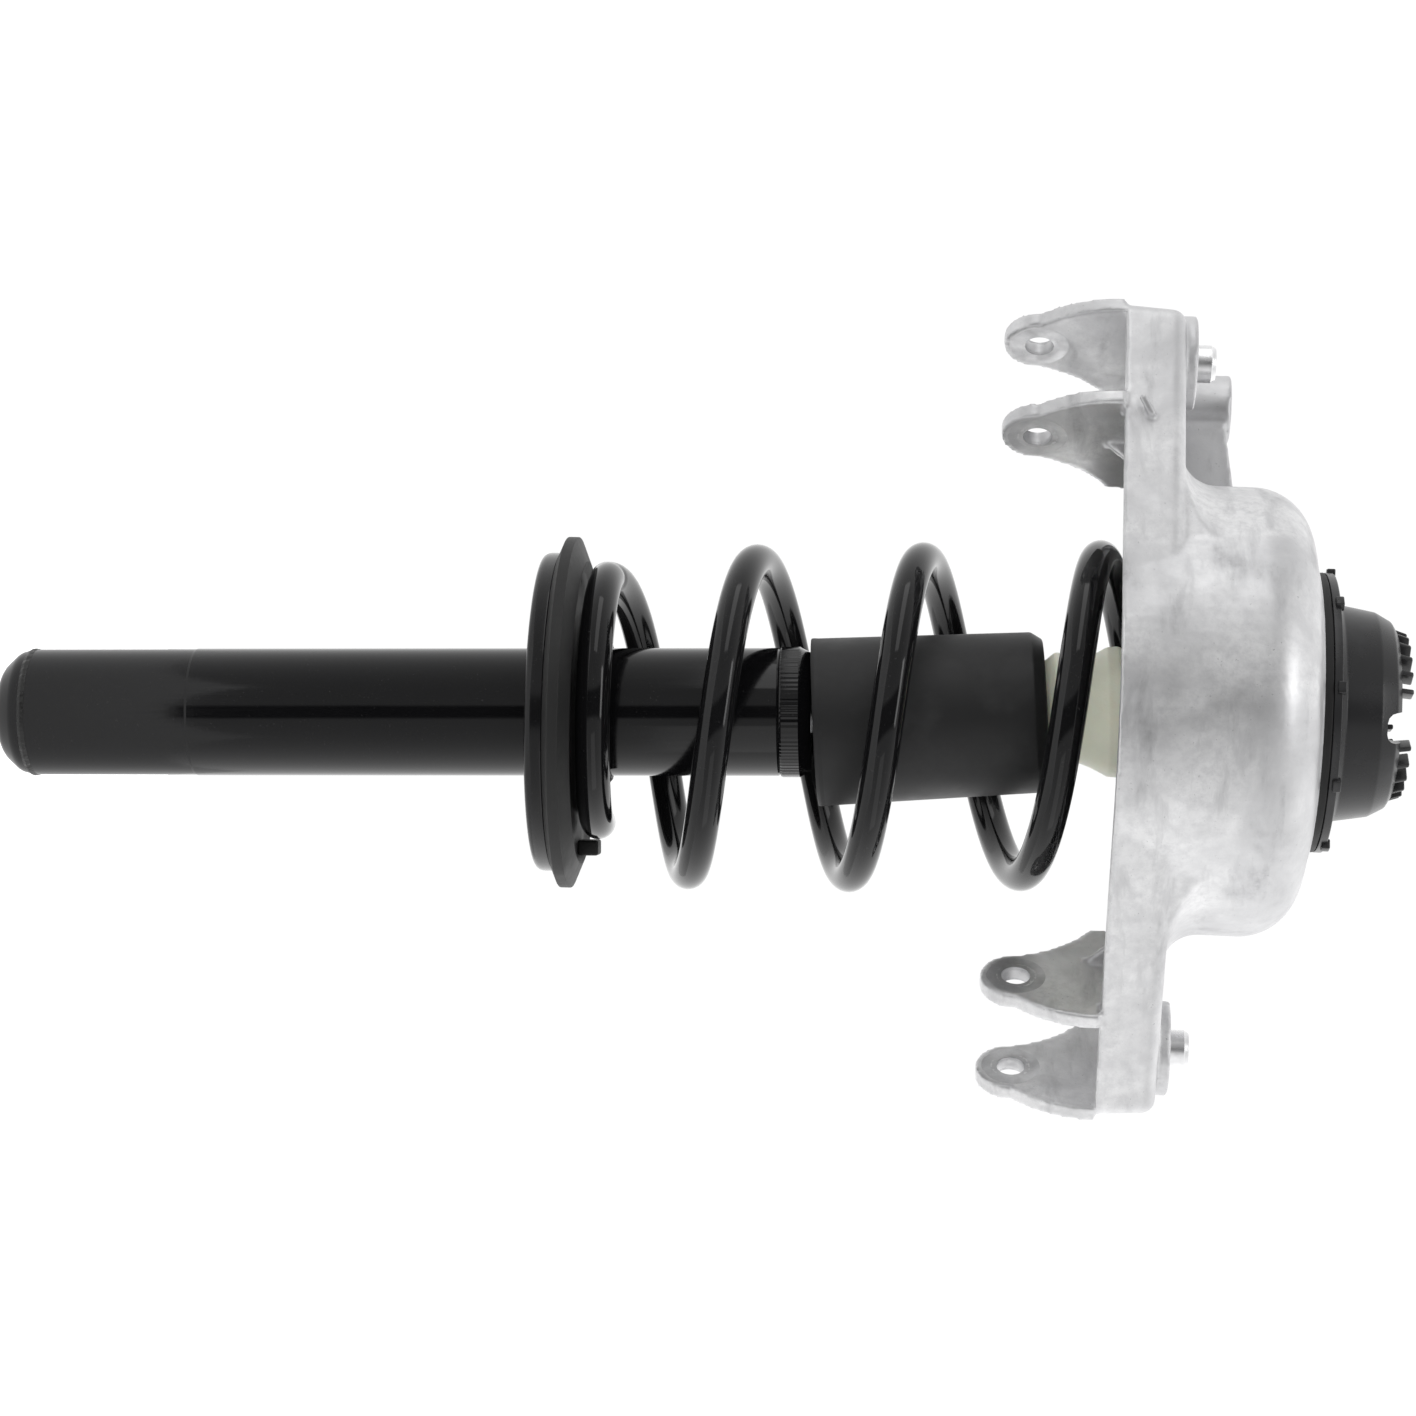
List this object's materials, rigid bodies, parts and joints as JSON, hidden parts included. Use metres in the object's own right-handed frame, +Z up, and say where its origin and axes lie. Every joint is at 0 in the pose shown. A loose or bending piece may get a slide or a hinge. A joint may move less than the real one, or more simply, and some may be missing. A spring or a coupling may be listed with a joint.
{
  "type": "suspension strut assembly",
  "caption": "Front suspension strut with damper, coil spring, bump stop, dust cover, rubber top mount and a cast bracket with ears for upper links.",
  "frame": {"origin": "on the strut axis, in the plane of the two main body-mounting pads", "axes": "+Z up along the strut axis towards the cap, +X towards the rear pair of link ears, +Y towards the raised third mounting arm"},
  "size_m": [0.3473, 0.191, 0.6058],
  "materials": {
    "black_paint": "gloss",
    "spring_paint": "gloss powder coat",
    "cast_aluminium": "as cast",
    "machined_aluminium": "machined",
    "black_rubber": "matte",
    "black_plastic": "satin",
    "cream_urethane": "satin foam skin",
    "plain_steel": "ground",
    "hard_chrome": "polished",
    "bronze_band": "filled fluoropolymer"
  },
  "bodies": {
    "bracket_body": {"piston_rod": "hard_chrome", "piston": "plain_steel", "piston_band": "bronze_band", "piston_nut": "plain_steel", "rebound_collar": "plain_steel", "rebound_stop": "black_rubber", "coil_spring": "spring_paint", "bracket": "cast_aluminium", "locating_sleeves": "machined_aluminium", "mount_ring": "machined_aluminium", "mount_rubber": "black_rubber", "mount_core": "machined_aluminium", "stop_plate": "plain_steel", "rebound_washer": "plain_steel", "rod_nut": "plain_steel", "upper_isolator": "black_rubber", "bump_cup": "plain_steel", "bump_stop": "cream_urethane", "dust_cover": "black_plastic", "cap_seal": "black_rubber", "top_cap": "black_plastic"},
    "damper_body": {"damper_tube": "black_paint", "bottom_cap": "black_paint", "bottom_weld": "black_paint", "closure_cap": "black_paint", "rod_guide": "plain_steel", "rod_seal": "black_rubber", "pressure_tube": "plain_steel", "base_valve": "plain_steel", "spring_perch": "black_paint", "perch_weld": "black_paint", "lower_isolator": "black_rubber"}
  },
  "joints": [
    {"name": "strut_stroke", "type": "slide", "parent": "bracket_body", "child": "damper_body", "axis": [0, 0, 1], "range_m": [0, 0.08], "stiffness_N_per_m": 45000, "springref_m": -0.04, "deforming": ["coil_spring"]}
  ]
}
